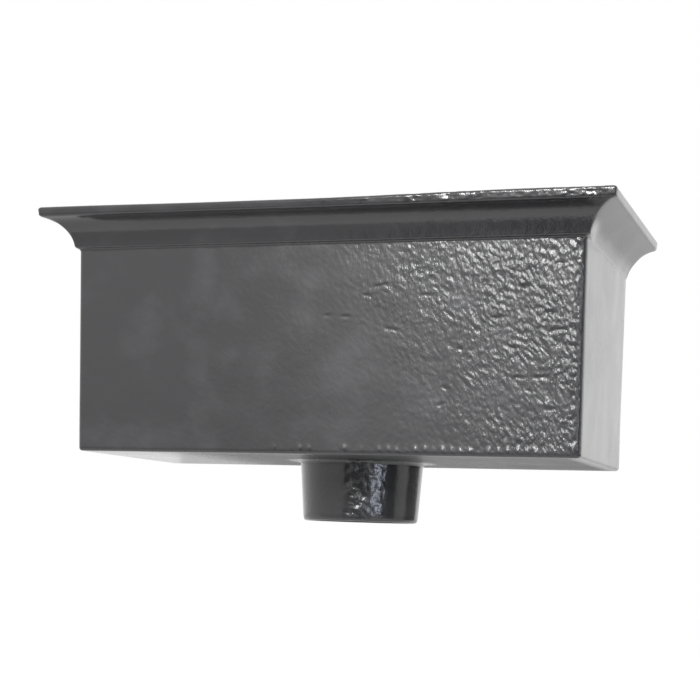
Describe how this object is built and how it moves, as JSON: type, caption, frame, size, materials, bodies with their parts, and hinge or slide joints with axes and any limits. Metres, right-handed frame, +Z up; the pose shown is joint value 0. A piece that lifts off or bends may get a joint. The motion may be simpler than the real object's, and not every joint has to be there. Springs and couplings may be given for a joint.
{
  "type": "rainwater hopper",
  "caption": "Flat-backed cast box with tapered walls, a cove moulding and lip round its open top, and a round outlet spigot below, for leading gutter water into a downpipe.",
  "frame": {"origin": "axis of the outlet spigot at its lower end", "axes": "+Z up along the outlet, +Y into the wall that the flat back is screwed to, +X along the box's width"},
  "size_m": [0.36, 0.172, 0.1885],
  "materials": {
    "black_painted_iron": "sand-cast skin under gloss black paint"
  },
  "bodies": {
    "root": {"hopper_casting": "black_painted_iron"}
  },
  "joints": []
}
